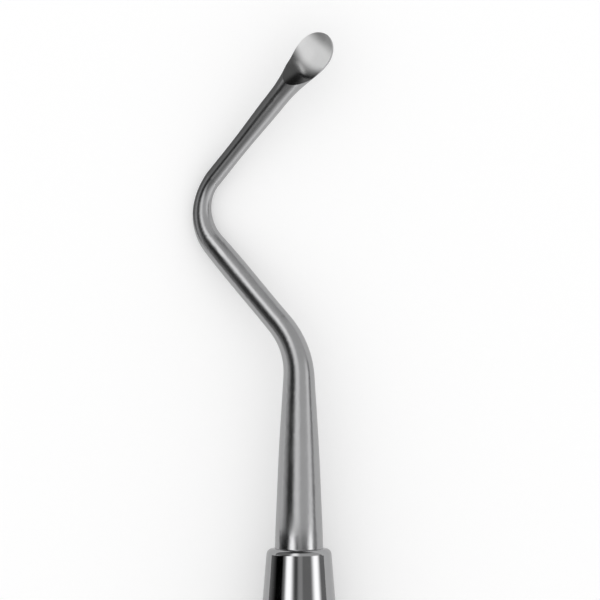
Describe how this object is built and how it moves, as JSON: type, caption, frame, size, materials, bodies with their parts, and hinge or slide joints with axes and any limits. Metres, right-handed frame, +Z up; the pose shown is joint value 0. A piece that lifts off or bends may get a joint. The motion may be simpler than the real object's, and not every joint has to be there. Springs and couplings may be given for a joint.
{
  "type": "bone curette",
  "caption": "Slim stainless steel bone curette: a plain round handle with tapered noses, each holding a double-bent shank that thins to a small scooped spoon for scraping bone.",
  "frame": {"origin": "on the handle's axis, halfway along the handle", "axes": "+X along the handle towards working end A, +Z up; the instrument lies as it comes to rest, on the handle and both elbows, which point towards +Y"},
  "size_m": [0.1716, 0.0107, 0.0064],
  "materials": {
    "handle_steel": "mirror-polished stainless steel",
    "working_end_steel": "satin-polished stainless steel, fine lines along the shank"
  },
  "bodies": {
    "root": {"handle": "handle_steel", "working_end_a": "working_end_steel", "working_end_b": "working_end_steel"}
  },
  "joints": []
}
